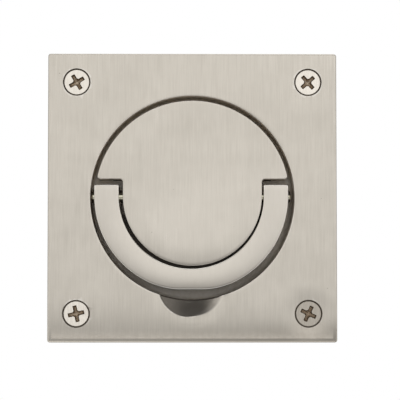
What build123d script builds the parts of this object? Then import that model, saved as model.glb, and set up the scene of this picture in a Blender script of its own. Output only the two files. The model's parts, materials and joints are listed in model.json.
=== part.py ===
"""Square flush ring pull: a face plate with a round cup behind it, a fixed hub in the cup, and a
hinged ring that lies in the groove round the hub until a fingertip lifts it out.

Millimetres. X runs to the right, Z up, and +Y into the door. The origin is the centre of the
recess on the plate's back, the face that lies on the door, so the room side is -Y.
"""

from build123d import *
from math import cos, hypot, isclose, radians, sin, sqrt, tan
import os

# ---- face plate: one forging, with the cup behind it ----
plate_width = 76.2  # square, 3 in
plate_thickness = 4.0
plate_corner_radius = 0.7
plate_edge_break = 0.35
recess_diameter = 53.9
recess_depth = 9.5  # from the show face to the cup's floor
recess_cove_radius = 1.0  # where the wall meets the floor
rim_break = 0.15
cup_wall = 2.1
cup_floor = 2.2
cup_root_fillet = 1.5
cup_back_edge_radius = 1.2

# ---- finger scoop: a ball-shaped notch in the rim, under the ring ----
scoop_width = 17.6  # across the show face
scoop_ball_radius = 10.2
scoop_reach = 4.65  # how far it runs past the rim

# ---- ring ----
ring_side_gap = 1.35  # leg to recess wall, each side
ring_width = 6.5
ring_foot_width = 5.45  # narrower at the bottom, where the fingertip goes in
ring_foot_blend = 20.0
ring_arc_inset = 0.5  # the outer arcs are this much tighter than the legs are wide
ring_thickness = 6.0
ring_crown = 0.2
ring_edge_radius = 0.25
ring_back_edge_radius = 0.8
tail_height = 3.0  # leg ends above the pin
ring_float = 0.3  # the ring has slid this far left on its end play

# ---- hub ----
hub_rim_gap = 1.3
hub_cheek_gap = 0.8  # nose to the ring's inner face
hub_corner_radius = 0.9
hub_tip_radius = 0.7
hub_edge_break = 0.2
rolloff_height = 9.0  # above the pin: the centre that the face falls away from
rolloff_start = 21.4
rolloff_radius = 70.0
rolloff_spread = 20.0  # degrees below level where it ends, each side
tail_swing_clearance = 0.33
ledge_overlap = 2.2  # the ring's stop, behind its inner edge
ledge_clearance = 0.1

# ---- pivot ----
pivot_height = 0.4  # pin axis above the recess centre
pin_diameter = 3.2
pin_end_chamfer = 0.3
pin_running_clearance = 0.06

# ---- the two screws that hold the hub, from behind ----
hub_screw_spacing = 22.0
hub_screw_diameter = 4.0
hub_screw_length = 8.0
hub_screw_head_diameter = 8.0
hub_screw_head_height = 2.6
hub_screw_head_round = 1.6
hub_screw_hole_clearance = 0.25
hub_screw_end_chamfer = 0.5
hub_thread_clearance = 0.05
hub_thread_depth = 6.0
hub_cross_width = 4.2
hub_cross_depth = 1.5
hub_cross_angles = {"upper": 18.0, "lower": 74.0}
lock_washer_width = 1.4
lock_washer_thickness = 0.9
lock_washer_gap = 0.7
lock_washer_gap_angle = 35.0

# ---- the four wood screws at the corners, No. 6 flat head ----
screw_inset = 7.55  # from the plate's edges
countersink_diameter = 7.2
countersink_angle = 82.0
screw_head_sink = 0.3  # below the show face
screw_seat_clearance = 0.02
screw_length = 19.0
screw_neck_diameter = 2.9
screw_neck_length = 1.0  # past the plate's back
screw_thread_diameter = 3.5
screw_thread_run_in = 0.4
screw_point_length = 3.0
screw_hole_clearance = 0.2
screw_cross_width = 4.3
screw_cross_depth = 1.8
screw_cross_angles = {"top_left": 30.5, "top_right": 41.5, "bottom_left": 12.0, "bottom_right": 65.0}

# ---- the cross recess, alike in both kinds of screw ----
cross_wing_thickness = 0.8
cross_core_radius = 0.7
cross_floor_radius = 0.3

# ---- sizes and places that follow ----
recess_radius = recess_diameter / 2
floor_y = recess_depth - plate_thickness
cup_radius = recess_radius + cup_wall
cup_depth = floor_y + cup_floor
scoop_half_width = scoop_width / 2
scoop_z = scoop_half_width - recess_radius - scoop_reach
scoop_ball_y = -plate_thickness - sqrt(scoop_ball_radius**2 - scoop_half_width**2)

ring_half_width = recess_radius - ring_side_gap
ring_inner_radius = ring_half_width - ring_width
ring_outer_radius = ring_half_width - ring_arc_inset
ring_back_y = ring_thickness - plate_thickness
crown_line_radius = ring_inner_radius + ring_width / 2
crown_radius = (ring_width**2 / 4 + ring_crown**2) / (2 * ring_crown)
crown_centre_y = crown_radius - plate_thickness
pin_y = ring_back_y - ring_thickness / 2
pin_radius = pin_diameter / 2
pin_length = 2 * ring_half_width + ring_side_gap  # proud of each leg by half the gap there
tail_sweep = hypot(tail_height, ring_thickness / 2) + tail_swing_clearance

hub_radius = recess_radius - hub_rim_gap
nose_radius = ring_inner_radius - hub_cheek_gap
shoulder_z = pivot_height + tail_sweep
ledge_top_z = pivot_height - tail_sweep
rolloff_z = pivot_height + rolloff_height
rolloff_sin = sin(radians(rolloff_spread))
rolloff_cos = cos(radians(rolloff_spread))

hub_screw_radius = hub_screw_diameter / 2
hub_screw_seat_y = cup_depth + lock_washer_thickness
lock_washer_bore_radius = hub_screw_radius + hub_thread_clearance
screw_spacing = plate_width - 2 * screw_inset
screw_neck_radius = screw_neck_diameter / 2
screw_thread_radius = screw_thread_diameter / 2
countersink_slope = tan(radians(countersink_angle / 2))
screw_head_radius = countersink_diameter / 2 - (screw_head_sink + screw_seat_clearance) * countersink_slope
screw_head_height = (screw_head_radius - screw_neck_radius) / countersink_slope
screw_neck_end = plate_thickness - screw_head_sink + screw_neck_length

# ---- planes: those that look out into the room, those that look back into the door ----
show_face = Plane.XZ.offset(plate_thickness)
door_face = Plane.XZ
recess_floor = Plane.XZ.offset(-floor_y)
cup_back = Plane(origin=(0, cup_depth, 0), x_dir=(-1, 0, 0), z_dir=(0, 1, 0))
hub_back = Plane(origin=(0, floor_y, 0), x_dir=(-1, 0, 0), z_dir=(0, 1, 0))
# the ring's front, the level plane through its axis, and the same for the hub's fall-away
ring_front = Plane(origin=(-ring_float, -plate_thickness, pivot_height), x_dir=(1, 0, 0), z_dir=(0, -1, 0))
ring_section = Plane(origin=(-ring_float, 0, pivot_height), x_dir=(1, 0, 0), z_dir=(0, 0, 1))
ring_axis = Axis((-ring_float, 0, pivot_height), (0, 1, 0))
rolloff_section = Plane(
    origin=(0, 0, rolloff_z), x_dir=(rolloff_cos, 0, -rolloff_sin), z_dir=(rolloff_sin, 0, rolloff_cos)
)
rolloff_axis = Axis((0, 0, rolloff_z), (0, 1, 0))
pin_plane = Plane(origin=(-ring_float, pin_y, pivot_height), x_dir=(0, 1, 0), z_dir=(1, 0, 0))


# ---- face plate ----
# The plate and its cup are one piece. The scoop is cut by a ball whose centre stands in front of
# the show face, so it runs out into the recess well above the floor.
with BuildPart() as face_plate:
    with BuildSketch(door_face):
        RectangleRounded(plate_width, plate_width, plate_corner_radius)
    extrude(amount=plate_thickness)
    chamfer(face_plate.faces().sort_by(Axis.Y)[0].edges(), plate_edge_break)
    with BuildSketch(door_face):
        Circle(cup_radius)
    extrude(amount=-cup_depth)
    cup_edges = face_plate.edges().filter_by(GeomType.CIRCLE)
    cup_edges = cup_edges.filter_by(lambda e: isclose(e.radius, cup_radius)).sort_by(Axis.Y)
    fillet(cup_edges[0], cup_root_fillet)
    fillet(cup_edges[-1], cup_back_edge_radius)

    with BuildSketch(show_face):
        Circle(recess_radius)
    extrude(amount=-recess_depth, mode=Mode.SUBTRACT)
    recess_edges = face_plate.edges().filter_by(GeomType.CIRCLE)
    recess_edges = recess_edges.filter_by(lambda e: isclose(e.radius, recess_radius)).sort_by(Axis.Y)
    chamfer(recess_edges[0], rim_break)
    fillet(recess_edges[-1], recess_cove_radius)
    with Locations((0, scoop_ball_y, scoop_z)):
        Sphere(scoop_ball_radius, mode=Mode.SUBTRACT)

    with Locations(show_face):
        with GridLocations(screw_spacing, screw_spacing, 2, 2):
            CounterSinkHole(
                radius=screw_thread_radius + screw_hole_clearance,
                counter_sink_radius=countersink_diameter / 2,
                counter_sink_angle=countersink_angle,
                depth=plate_thickness,
            )
    with Locations(cup_back):
        with GridLocations(0, hub_screw_spacing, 1, 2):
            Hole(hub_screw_radius + hub_screw_hole_clearance, depth=cup_floor)

face_plate.part.label = "face_plate"


# ---- hub ----
# A wide disc above, stepped in to a round nose between the ring's legs. The shoulders stand clear
# of the leg ends as they swing, and a ledge round the foot of the nose stops the ring flush.
with BuildPart() as hub:
    with BuildSketch(recess_floor):
        Circle(hub_radius)
        with Locations((0, shoulder_z)):
            below = (Align.CENTER, Align.MAX)
            Rectangle(2 * hub_radius, 2 * hub_radius, align=below, mode=Mode.SUBTRACT)
        with Locations((0, pivot_height)):
            Circle(nose_radius)
            Rectangle(2 * nose_radius, tail_sweep, align=(Align.CENTER, Align.MIN))
    extrude(amount=recess_depth)
    shoulder_edges = hub.edges().filter_by(Axis.Y).group_by(Axis.Z)[-1]
    shoulder_edges = shoulder_edges.sort_by(lambda e: abs(e.center().X))
    fillet(shoulder_edges[:2], hub_corner_radius)
    fillet(shoulder_edges[2:], hub_tip_radius)

    # the show face falls away towards the nose, less and less up its sides
    with BuildSketch(rolloff_section):
        with Locations((rolloff_start, -plate_thickness)):
            Rectangle(hub_radius, rolloff_radius / 4, align=(Align.MIN, Align.CENTER))
        with Locations((rolloff_start, rolloff_radius - plate_thickness)):
            Circle(rolloff_radius, mode=Mode.SUBTRACT)
    revolve(axis=rolloff_axis, revolution_arc=180 - 2 * rolloff_spread, mode=Mode.SUBTRACT)
    show_edges = hub.edges().filter_by(lambda e: e.center().Y < pin_y - pin_radius)
    show_edges = show_edges.filter_by(lambda e: not isclose(e.center().Z, rolloff_z - rolloff_start))
    fillet(show_edges, hub_edge_break)

    with BuildSketch(recess_floor):
        with Locations((0, pivot_height)):
            Circle(ring_inner_radius + ledge_overlap)
        with Locations((0, ledge_top_z)):
            above = (Align.CENTER, Align.MIN)
            Rectangle(2 * hub_radius, 2 * hub_radius, align=above, mode=Mode.SUBTRACT)
    extrude(amount=floor_y - ring_back_y - ledge_clearance)

    with BuildSketch(pin_plane):
        Circle(pin_radius + pin_running_clearance)
    extrude(amount=recess_radius, both=True, mode=Mode.SUBTRACT)
    with Locations(hub_back):
        with GridLocations(0, hub_screw_spacing, 1, 2):
            Hole(hub_screw_radius + hub_thread_clearance, depth=hub_thread_depth)

hub.part.label = "hub"


# ---- ring ----
# Two straight legs and a round bow, flattened and narrower at the foot. The show face is crowned
# across its width, and the back is rounded over for the fingers.
with BuildPart() as ring:
    with BuildSketch(ring_front) as ring_outline:
        SlotOverall(2 * ring_half_width, 2 * ring_outer_radius)
        Rectangle(2 * ring_half_width, tail_height, align=(Align.CENTER, Align.MIN))
        with Locations((0, tail_height)):
            above = (Align.CENTER, Align.MIN)
            Rectangle(2 * recess_radius, recess_radius, align=above, mode=Mode.SUBTRACT)
        with Locations((0, -ring_inner_radius - ring_foot_width)):
            below = (Align.CENTER, Align.MAX)
            Rectangle(2 * recess_radius, recess_radius, align=below, mode=Mode.SUBTRACT)
        fillet(ring_outline.vertices().group_by(Axis.Y)[0], ring_foot_blend)
        Circle(ring_inner_radius, mode=Mode.SUBTRACT)
        above = (Align.CENTER, Align.MIN)
        Rectangle(2 * ring_inner_radius, recess_radius, align=above, mode=Mode.SUBTRACT)
    extrude(amount=-ring_thickness)

    with BuildSketch(ring_section) as crown_waste:
        with Locations((crown_line_radius, -plate_thickness), (-crown_line_radius, -plate_thickness)):
            Rectangle(2 * ring_width, 2 * ring_crown)
        with Locations((crown_line_radius, crown_centre_y), (-crown_line_radius, crown_centre_y)):
            Circle(crown_radius, mode=Mode.SUBTRACT)
    extrude(amount=2 * tail_height, mode=Mode.SUBTRACT)
    bow_waste = crown_waste.sketch.faces().sort_by(Axis.X)[-1]
    revolve(bow_waste, axis=ring_axis, revolution_arc=180, mode=Mode.SUBTRACT)

    front_edges = ring.edges().filter_by(lambda e: e.center().Y < pin_y - ring_thickness / 4)
    front_edges = front_edges.filter_by(lambda e: not isclose(e.center().Z, pivot_height))
    fillet(front_edges, ring_edge_radius)
    fillet(ring.faces().sort_by(Axis.Y)[-1].edges(), ring_back_edge_radius)
    with BuildSketch(pin_plane):
        Circle(pin_radius)
    extrude(amount=recess_radius, both=True, mode=Mode.SUBTRACT)

ring.part.label = "ring"


# ---- pivot pin ----
# Pressed through both legs, and free to turn in the hub. The recess wall keeps it from working out.
with BuildPart() as pivot_pin:
    with BuildSketch(pin_plane):
        Circle(pin_radius)
    extrude(amount=pin_length / 2, both=True)
    chamfer(pivot_pin.edges().filter_by(GeomType.CIRCLE), pin_end_chamfer)

pivot_pin.part.label = "pivot_pin"


# ---- screws and washers, each turned about the Y axis with its head's seat at the origin ----
def cross_recess(width, depth):
    """The hollow that a cross driver fills, sunk from the XZ plane towards +Y."""
    with BuildPart() as wings:
        with BuildSketch(Plane.XZ):
            Rectangle(width, cross_wing_thickness)
            Rectangle(cross_wing_thickness, width)
            Circle(cross_core_radius)
        extrude(amount=depth, both=True)
        with BuildSketch(Plane.XY):
            with BuildLine():
                Polyline(
                    (0, -depth),
                    (width / 2, -depth),
                    (width / 2, 0),
                    (cross_floor_radius, depth),
                    (0, depth),
                    close=True,
                )
            make_face()
        revolve(axis=Axis.Y, mode=Mode.INTERSECT)
    return wings.part


# flat-head wood screw, head up to Y = 0; the plain cylinder is as thick as the thread's crests
with BuildPart() as wood_screw:
    with BuildSketch(Plane.XY):
        with BuildLine():
            Polyline(
                (0, 0),
                (screw_head_radius, 0),
                (screw_neck_radius, screw_head_height),
                (screw_neck_radius, screw_neck_end),
                (screw_thread_radius, screw_neck_end + screw_thread_run_in),
                (screw_thread_radius, screw_length - screw_point_length),
                (0, screw_length),
                close=True,
            )
        make_face()
    revolve(axis=Axis.Y)
    add(cross_recess(screw_cross_width, screw_cross_depth), mode=Mode.SUBTRACT)

# pan-head machine screw, its head behind Y = 0 and its thread towards the room
with BuildPart() as machine_screw:
    with BuildSketch(Plane.XY):
        with Locations((0, 0)):
            Rectangle(hub_screw_head_diameter / 2, hub_screw_head_height, align=(Align.MIN, Align.MIN))
            Rectangle(hub_screw_radius, hub_screw_length, align=(Align.MIN, Align.MAX))
    revolve(axis=Axis.Y)
    fillet(machine_screw.edges().sort_by(Axis.Y)[-1], hub_screw_head_round)
    chamfer(machine_screw.edges().sort_by(Axis.Y)[0], hub_screw_end_chamfer)
    add(
        cross_recess(hub_cross_width, hub_cross_depth).moved(
            Location((0, hub_screw_head_height, 0), (180, 0, 0))
        ),
        mode=Mode.SUBTRACT,
    )

# split lock washer, between the head and the cup
with BuildPart() as lock_washer:
    with BuildSketch(Plane.XZ):
        Circle(lock_washer_bore_radius + lock_washer_width)
        Circle(lock_washer_bore_radius, mode=Mode.SUBTRACT)
        with Locations(Location((0, 0), lock_washer_gap_angle)):
            beside = (Align.MIN, Align.CENTER)
            Rectangle(hub_screw_head_diameter, lock_washer_gap, align=beside, mode=Mode.SUBTRACT)
    extrude(amount=lock_washer_thickness)


# ---- put the fasteners in their places, and write every piece ----
pieces = [face_plate.part, hub.part, ring.part, pivot_pin.part]

for place, angle in screw_cross_angles.items():
    x = screw_spacing / 2 if "right" in place else -screw_spacing / 2
    z = screw_spacing / 2 if "top" in place else -screw_spacing / 2
    screw = wood_screw.part.moved(Location((x, screw_head_sink - plate_thickness, z), (0, -angle, 0)))
    screw.label = "mounting_screw_" + place
    pieces.append(screw)

for place, angle in hub_cross_angles.items():
    z = hub_screw_spacing / 2 if place == "upper" else -hub_screw_spacing / 2
    seat = Location((0, hub_screw_seat_y, z), (0, -angle, 0))
    screw = machine_screw.part.moved(seat)
    screw.label = "hub_screw_" + place
    washer = lock_washer.part.moved(seat)
    washer.label = "lock_washer_" + place
    pieces += [screw, washer]

os.makedirs("parts", exist_ok=True)
for piece in pieces:
    export_step(piece, f"parts/{piece.label}.step")
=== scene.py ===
"""The looks of a square flush ring pull in satin nickel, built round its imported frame.

Metres, +Z up, and -Y into the room.
"""

import bmesh
import bpy
import json
from functools import partial, reduce
from math import asin, atan2, cos, degrees, hypot, pi, radians, sin, sqrt, tan
from mathutils import Matrix, Vector


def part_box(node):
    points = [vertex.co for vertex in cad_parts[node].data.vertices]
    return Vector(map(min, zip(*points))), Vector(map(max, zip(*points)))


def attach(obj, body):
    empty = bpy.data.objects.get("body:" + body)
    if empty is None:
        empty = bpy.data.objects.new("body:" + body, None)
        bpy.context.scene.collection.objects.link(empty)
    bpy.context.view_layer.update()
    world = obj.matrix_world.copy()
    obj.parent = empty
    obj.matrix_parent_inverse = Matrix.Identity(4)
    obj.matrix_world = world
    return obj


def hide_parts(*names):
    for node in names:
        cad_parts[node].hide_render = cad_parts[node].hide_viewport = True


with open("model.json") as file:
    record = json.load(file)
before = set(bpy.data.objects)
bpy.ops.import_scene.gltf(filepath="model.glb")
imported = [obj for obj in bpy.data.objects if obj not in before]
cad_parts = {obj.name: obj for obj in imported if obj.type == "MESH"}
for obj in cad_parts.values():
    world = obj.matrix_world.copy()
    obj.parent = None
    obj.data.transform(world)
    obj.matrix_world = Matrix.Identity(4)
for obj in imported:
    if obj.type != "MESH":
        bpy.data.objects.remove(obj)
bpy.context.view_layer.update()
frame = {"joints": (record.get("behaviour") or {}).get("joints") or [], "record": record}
mm = 0.001

# ==== Face plate =====================================================================================
# One brass forging: a square plate with a round cup behind it. The recess is turned, the scoop is
# milled with a ball cutter, and the show face is brushed up and down, then nickel plated.
plate_low, plate_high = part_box("face_plate")
plate_half = plate_high.x
show_y = plate_low.y
cup_back_y = plate_high.y
plate_corner = 0.7 * mm
plate_front_round = 0.4 * mm
plate_back_round = 0.15 * mm
recess_radius = 26.95 * mm
recess_floor_y = 5.5 * mm
recess_wall = 7 * mm  # how much of the depth is straight wall
recess_cove = 1.0 * mm
rim_round = 0.15 * mm
cup_radius = 29.05 * mm
cup_root = 1.5 * mm
cup_back_round = 1.2 * mm
foot_roll_height = 13 * mm  # the wheel has dragged the face down towards the lower edge
foot_roll_drop = 0.47 * mm
foot_roll_power = 2.5
dish_radius = 7.8 * mm  # and dished it round the lower right screw
dish_depth = 0.26 * mm
scoop_radius = 8.8 * mm  # across the show face
scoop_ball = 10.2 * mm
scoop_x, scoop_z = -0.3 * mm, -22.92 * mm
scoop_crisp_lip, scoop_soft_lip = 0.2 * mm, 5 * mm
scoop_soft_reach = 0.95 * mm  # how much wider the worn side is
scoop_soft_side = radians(-25)  # the wheel has eased the scoop's lip most at its lower right
scoop_wear_width = 3.4 * mm
scoop_wear_depth = 0.12 * mm
scoop_wear_least = 0.45  # its share of that depth on the side away from the soft lip
scoop_steps = 160
nil = 0.01 * mm  # the radius where a turned profile meets its axis
weld, sliver = 0.001 * mm, 0.0005 * mm
highlight_edge_facing = (0.2, 0.93)  # how far the rounded front edges face the room, where the painted edge highlight goes


def arc(centre, radius, start, end, steps):
    """Points of an arc in a plane, from one angle in degrees to another."""
    turn = (end - start) / steps
    angles = [radians(start + turn * step) for step in range(steps + 1)]
    return [(centre[0] + radius * cos(angle), centre[1] + radius * sin(angle)) for angle in angles]


def line(start, end, steps):
    """Points of a straight line, without its last one."""
    return [
        (start[0] + (end[0] - start[0]) * step / steps, start[1] + (end[1] - start[1]) * step / steps)
        for step in range(steps)
    ]


def skin(name, rings, capped=True):
    """A closed piece through rings of points, with flat ends unless the last ring meets the first."""
    count = len(rings[0])
    faces = []
    for ring in range(len(rings) - (1 if capped else 0)):
        here, there = ring * count, (ring + 1) % len(rings) * count
        for step in range(count):
            after = (step + 1) % count
            faces.append((here + step, here + after, there + after, there + step))
    if capped:
        faces.append(tuple(range(count))[::-1])
        faces.append(tuple(range((len(rings) - 1) * count, len(rings) * count)))
    mesh = bpy.data.meshes.new(name)
    mesh.from_pydata([point for ring in rings for point in ring], [], faces)
    tidy = bmesh.new()
    tidy.from_mesh(mesh)
    bmesh.ops.remove_doubles(tidy, verts=tidy.verts, dist=weld)
    bmesh.ops.dissolve_degenerate(tidy, edges=tidy.edges, dist=sliver)
    bmesh.ops.recalc_face_normals(tidy, faces=tidy.faces)
    tidy.to_mesh(mesh)
    tidy.free()
    piece = bpy.data.objects.new(name, mesh)
    bpy.context.scene.collection.objects.link(piece)
    return piece


def set_modifiers(piece):
    """Turns a piece and its modifiers into one plain mesh."""
    graph = bpy.context.evaluated_depsgraph_get()
    mesh = bpy.data.meshes.new_from_object(piece.evaluated_get(graph))
    piece.modifiers.clear()
    piece.data = mesh


def turned(name, profile, centre, steps=96):
    """A piece turned about a line through centre along Y; the profile is (radius, y) pairs."""
    turn = 2 * pi / steps
    return skin(name, [
        [(centre[0] + r * cos(turn * step), y, centre[1] + r * sin(turn * step)) for step in range(steps)]
        for r, y in profile
    ])


def cut(piece, cutters):
    """Cuts each cutter out of a piece; the new faces keep the cutter's material."""
    for cutter in cutters:
        step = piece.modifiers.new("cut", "BOOLEAN")
        step.operation = "DIFFERENCE"
        step.solver = "EXACT"
        step.object = cutter
    set_modifiers(piece)
    for cutter in cutters:
        bpy.data.objects.remove(cutter)
    close = bmesh.new()  # a cut can leave a sliver open where a hole's wall meets an edge
    close.from_mesh(piece.data)
    bmesh.ops.remove_doubles(close, verts=close.verts, dist=sliver)
    bmesh.ops.holes_fill(close, edges=[edge for edge in close.edges if edge.is_boundary], sides=6)
    close.to_mesh(piece.data)
    close.free()


def smooth(piece, angle=32):
    """Shades a piece smooth but for its sharp edges, with its flats kept flat."""
    piece.data.shade_smooth()
    piece.data.set_sharp_from_angle(angle=radians(angle))
    weigh = piece.modifiers.new("weigh", "WEIGHTED_NORMAL")
    weigh.keep_sharp = True
    weigh.weight = 100
    set_modifiers(piece)


def mark_edge_highlights(piece):
    """Marks the rounded front edges of a piece, where a highlight is painted."""
    mark = piece.data.attributes.new("edge", "FLOAT", "POINT")
    for vertex, value in zip(piece.data.vertices, mark.data):
        facing = -vertex.normal.y
        value.value = 1.0 if highlight_edge_facing[0] < facing < highlight_edge_facing[1] else 0.0


def finish(piece, material, body, slot, *nodes):
    """Gives a piece its material, and sets it on its body in place of its CAD nodes."""
    if material:
        piece.data.materials.clear()
        piece.data.materials.append(material)
    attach(piece, body)
    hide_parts(*nodes)


screw_mount = next(mount for mount in frame["record"]["mounts"] if mount["name"] == "mounting_screws")
screw_spacing = screw_mount["dims"]["spacing_x_mm"] * mm
screw_places = {
    "top_left": (-screw_spacing / 2, screw_spacing / 2),
    "top_right": (screw_spacing / 2, screw_spacing / 2),
    "bottom_left": (-screw_spacing / 2, -screw_spacing / 2),
    "bottom_right": (screw_spacing / 2, -screw_spacing / 2),
}


def square(half, corner, flat_steps=60, corner_steps=6):
    """The outline of the plate: a square with round corners, the same count of points at any size."""
    points = []
    inner = half - corner
    for quarter in range(4):
        turn = Matrix.Rotation(radians(90 * quarter), 2)
        side = line((half, -inner), (half, inner), flat_steps)
        side += arc((inner, inner), corner, 0, 90, corner_steps)
        points += [tuple(turn @ Vector(point)) for point in side[:-1]]
    return points


def show_face(x, z):
    """Where the show face stands at a place, always a little inside the plate."""
    foot = max(0.0, 1 - (z + plate_half) / foot_roll_height)
    dish_x, dish_z = screw_places["bottom_right"]
    dish = max(0.0, 1 - (hypot(x - dish_x, z - dish_z) / dish_radius) ** 2)
    past_lip = max(0.0, hypot(x - scoop_x, z - scoop_z) - scoop_radius)
    wear = max(0.0, 1 - past_lip / scoop_wear_width)
    side = max(0.0, cos(atan2(z - scoop_z, x - scoop_x) - scoop_soft_side))
    wear = scoop_wear_depth * (scoop_wear_least + (1 - scoop_wear_least) * side) * wear**2
    return show_y + foot_roll_drop * foot**foot_roll_power + dish_depth * dish**2 + wear


edge = square(plate_half, plate_corner)
bearings = [atan2(z, x) for x, z in edge]


def plate_round(radius, y):
    return [(radius * cos(bearing), y, radius * sin(bearing)) for bearing in bearings]


def plate_square(inset, y):
    return [(x, y, z) for x, z in square(plate_half - inset, max(plate_corner - inset, 0.05 * mm))]


plate_rings = [plate_round(recess_radius * share, recess_floor_y) for share in (0.02, 0.35, 0.7, 0.9)]
cove_centre = (recess_radius - recess_cove, recess_floor_y - recess_cove)
plate_rings += [plate_round(r, y) for r, y in arc(cove_centre, recess_cove, 90, 0, 6)]
plate_rings += [
    plate_round(recess_radius, show_y + rim_round + recess_wall * share) for share in (0.66, 0.33)
]
rim_centre = (recess_radius + rim_round, show_y + rim_round)
for step, (r, y) in enumerate(arc(rim_centre, rim_round, 180, 270, 4)):  # the rim sinks with the face
    ring = plate_round(r, y)
    plate_rings.append([(x, y + (show_face(x, z) - show_y) * step / 4, z) for x, y, z in ring])
field_start, field_end = plate_rings[-1], plate_square(plate_front_round, show_y)
for share in [step / 30 for step in range(1, 31)]:
    ring = [Vector(a).lerp(Vector(b), share) for a, b in zip(field_start, field_end)]
    plate_rings.append([(p.x, show_face(p.x, p.z), p.z) for p in ring])
for inset, y in arc((plate_front_round, show_y + plate_front_round), plate_front_round, 270, 180, 5)[1:]:
    share = inset / plate_front_round
    ring = plate_square(inset, y)
    plate_rings.append([(x, y + (show_face(x, z) - show_y) * share, z) for x, y, z in ring])
plate_back = arc((plate_back_round, -plate_back_round), plate_back_round, 180, 90, 3)
plate_rings += [plate_square(inset, y) for inset, y in plate_back]
plate_rings.append(plate_round(cup_radius + cup_root + 2 * mm, 0))
plate_rings += [plate_round(r, y) for r, y in arc((cup_radius + cup_root, cup_root), cup_root, 270, 180, 6)]
back_centre = (cup_radius - cup_back_round, cup_back_y - cup_back_round)
plate_rings += [plate_round(r, y) for r, y in arc(back_centre, cup_back_round, 0, 90, 6)]
plate_rings += [plate_round(cup_radius * share, cup_back_y) for share in (0.7, 0.35, 0.02)]
face_plate = skin("face_plate_forging", plate_rings)

# the ball cutter, with the lip that the wheel has eased where it breaks the show face
scoop_ball_y = show_y - sqrt(scoop_ball**2 - scoop_radius**2)
scoop_turns = []
for step in range(scoop_steps):
    bearing = 2 * pi * step / scoop_steps
    softness = max(0.0, cos(bearing - scoop_soft_side)) ** 2
    lip = scoop_crisp_lip + (scoop_soft_lip - scoop_crisp_lip) * softness
    lip_y = show_y + lip
    lip_r = sqrt((scoop_ball + lip) ** 2 - (lip_y - scoop_ball_y) ** 2)
    lip_angle = degrees(atan2(lip_y - scoop_ball_y, lip_r))
    profile = [(nil, scoop_ball_y + scoop_ball)]
    profile += arc((0, scoop_ball_y), scoop_ball, 88, lip_angle, 24)
    profile += arc((lip_r, lip_y), lip, 180 + lip_angle, 270, 8)[1:]
    rim_r = lip_r + 0.4 * mm
    profile += [(rim_r, show_y - 0.05 * mm), (rim_r, show_y - 2 * mm), (nil, show_y - 2 * mm)]
    squeeze = (scoop_radius + scoop_crisp_lip / 2 + scoop_soft_reach * softness) / lip_r
    scoop_turns.append([
        (scoop_x + squeeze * r * cos(bearing), y, scoop_z + squeeze * r * sin(bearing)) for r, y in profile
    ])
plate_cutters = [skin("scoop_cutter", [list(ring) for ring in zip(*scoop_turns)])]

countersink_radius = 3.6 * mm
countersink_slope = tan(radians(41))
screw_hole = 1.95 * mm
countersink_lip = 0.08 * mm
for place in screw_places.values():
    seat = (countersink_radius - screw_hole) / countersink_slope
    profile = [
        (nil, 1 * mm),
        (screw_hole, 1 * mm),
        (screw_hole, show_y + seat),
        (countersink_radius - countersink_lip, show_y + countersink_lip / countersink_slope),
        (countersink_radius + countersink_lip * 0.5, show_y + 0.02 * mm),
        (countersink_radius + countersink_lip * 2, show_y - 0.1 * mm),
        (countersink_radius + countersink_lip * 2, show_y - 1 * mm),
        (nil, show_y - 1 * mm),
    ]
    plate_cutters.append(turned("countersink_cutter", profile, place, 72))
hub_screw_z = 11 * mm
hub_clearance = 2.25 * mm
for z in (hub_screw_z, -hub_screw_z):
    profile = [(nil, 4 * mm), (hub_clearance, 4 * mm), (hub_clearance, 9 * mm), (nil, 9 * mm)]
    plate_cutters.append(turned("clearance_cutter", profile, (0, z), 48))
cut(face_plate, plate_cutters)
smooth(face_plate)
mark_edge_highlights(face_plate)

# ---- its finish ----


def add(tree, kind, inputs, **settings):
    """Adds a node with its settings, its inputs linked or set; gives its outputs."""
    node = tree.nodes.new(kind)
    for name, value in settings.items():
        setattr(node, name, value)
    for title, value in inputs.items():
        if isinstance(value, bpy.types.NodeSocket):
            tree.links.new(value, node.inputs[title])
        else:
            node.inputs[title].default_value = value
    return node.outputs


def calculate(tree, operation, *values, clamp=False):
    """A sum worked out on sockets or plain values."""
    return add(tree, "ShaderNodeMath", dict(enumerate(values)), operation=operation, use_clamp=clamp)[0]


def product(tree, *values):
    """Sockets and plain values multiplied together."""
    return reduce(lambda first, second: calculate(tree, "MULTIPLY", first, second), values)


def total(tree, *values):
    """Sockets and plain values added together."""
    return reduce(lambda first, second: calculate(tree, "ADD", first, second), values)


def noise(tree, coordinates, scale, detail=2.0, roughness=0.5):
    """A noise texture over coordinates."""
    inputs = {"Vector": coordinates, "Scale": scale, "Detail": detail, "Roughness": roughness}
    return add(tree, "ShaderNodeTexNoise", inputs)["Fac"]


def between(tree, value, low, high, start=0.0, end=1.0):
    """Maps a value smoothly from one range to another."""
    inputs = {"Value": value, "From Min": low, "From Max": high, "To Min": start, "To Max": end}
    return add(tree, "ShaderNodeMapRange", inputs, interpolation_type="SMOOTHSTEP")["Result"]


def fading(tree, value, low, high):
    """1 below a range and 0 above it."""
    return between(tree, value, low, high, 1.0, 0.0)


def blend(tree, share, first, second):
    """Mixes two colours by a share."""
    return add(tree, "ShaderNodeMix", {0: share, 6: first, 7: second}, data_type="RGBA")[2]


def layered(tree, colour, *layers):
    """A colour with others laid over it in turn, each given as (share, colour)."""
    for share, over in layers:
        colour = blend(tree, share, colour, over)
    return colour


def mottled(tree, pattern, first, second, spread=0.15):
    """Two colours mixed by a noise pattern."""
    return blend(tree, between(tree, pattern, 0.5 - spread, 0.5 + spread), first, second)


def stretched(tree, coordinates, stretch, turn=(0, 0, 0)):
    """Coordinates in millimetres, squeezed or drawn out along each axis."""
    inputs = {"Vector": coordinates, "Scale": [1 / (length * mm) for length in stretch], "Rotation": turn}
    return add(tree, "ShaderNodeMapping", inputs)["Vector"]


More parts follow.
